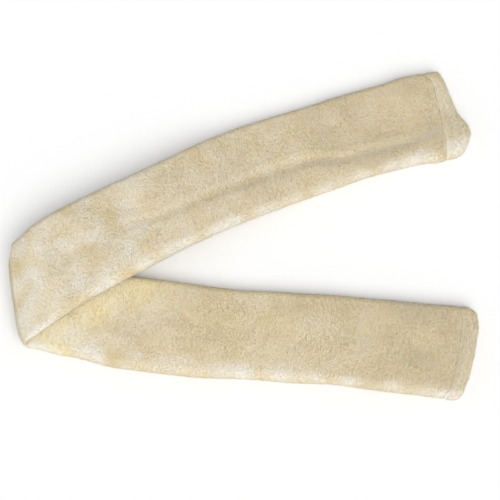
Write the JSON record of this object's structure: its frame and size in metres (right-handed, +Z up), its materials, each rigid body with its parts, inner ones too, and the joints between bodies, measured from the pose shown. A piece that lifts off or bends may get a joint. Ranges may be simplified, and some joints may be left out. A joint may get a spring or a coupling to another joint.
{
  "type": "fleece girth sleeve",
  "caption": "Flat open-ended tube of cream sheared fleece for a saddle girth, folded once on a slant into a V, with a turned-in stitched hem at each mouth.",
  "frame": {"origin": "middle of the lower leg's flat underside, on the surface it lies on", "axes": "+X along the lower leg from the fold to its mouth, +Y towards the upper leg, +Z up"},
  "size_m": [0.4414, 0.3526, 0.0404],
  "materials": {
    "fleece_pile": "matte",
    "hem_fleece": "matte",
    "knit_backing": "matte",
    "seam_edge": "matte",
    "sewing_thread": "satin"
  },
  "bodies": {
    "lower_leg": {"lower_leg_pile": "fleece_pile", "lower_leg_backing": "knit_backing", "lower_leg_seam_allowance": "seam_edge", "lower_leg_seam_thread": "sewing_thread", "lower_leg_hem": "hem_fleece", "lower_leg_hem_thread": "sewing_thread", "fold_pile": "fleece_pile", "fold_backing": "knit_backing", "fold_seam_allowance": "seam_edge", "fold_seam_thread": "sewing_thread"},
    "upper_leg": {"upper_leg_pile": "fleece_pile", "upper_leg_backing": "knit_backing", "upper_leg_seam_allowance": "seam_edge", "upper_leg_seam_thread": "sewing_thread", "upper_leg_hem": "hem_fleece", "upper_leg_hem_thread": "sewing_thread"}
  },
  "joints": [
    {"name": "fold_open", "type": "hinge", "parent": "lower_leg", "child": "upper_leg", "pos_m": [-0.209, 0, 0.02015], "axis": [0.3665, -0.9304, 0], "range_deg": [0, 179], "deforming": ["fold_pile", "fold_backing", "fold_seam_allowance", "fold_seam_thread"]}
  ]
}
